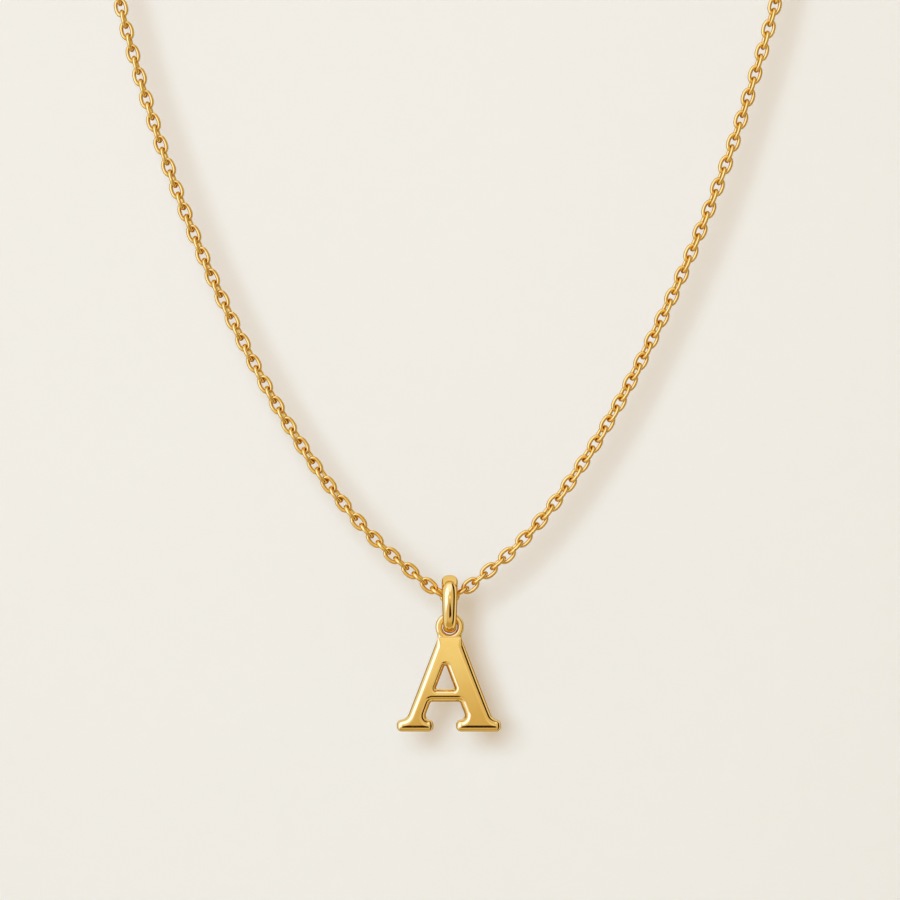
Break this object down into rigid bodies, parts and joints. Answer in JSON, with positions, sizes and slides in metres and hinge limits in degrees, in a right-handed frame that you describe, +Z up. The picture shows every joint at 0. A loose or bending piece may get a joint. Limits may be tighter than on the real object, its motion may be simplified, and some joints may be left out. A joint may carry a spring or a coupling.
{
  "type": "initial pendant",
  "caption": "Serif letter A with a fixed top loop, hanging from an oval bail on a fine cable chain necklace closed by a plain barrel clasp.",
  "frame": {"origin": "middle of the clasp, where the necklace sits on the nape of the neck", "axes": "+Z up, +X to the right as seen from the front, -Y towards the viewer, on the side where the pendant hangs"},
  "size_m": [0.095, 0.0735, 0.1324],
  "materials": {
    "pendant_gold": "polished yellow gold",
    "chain_gold": "polished yellow gold"
  },
  "bodies": {
    "necklace": {"chain_left": "chain_gold", "chain_right": "chain_gold", "clasp": "chain_gold"},
    "bail": {"bail": "pendant_gold"},
    "letter": {"letter": "pendant_gold"}
  },
  "joints": [
    {"name": "bail_swing", "type": "hinge", "parent": "necklace", "child": "bail", "pos_m": [0, -0.069, -0.113], "axis": [1, 0, 0], "range_deg": [-90, 90]},
    {"name": "letter_swing", "type": "hinge", "parent": "bail", "child": "letter", "pos_m": [0, -0.069, -0.11703], "axis": [0, 1, 0], "range_deg": [-80, 80]}
  ]
}
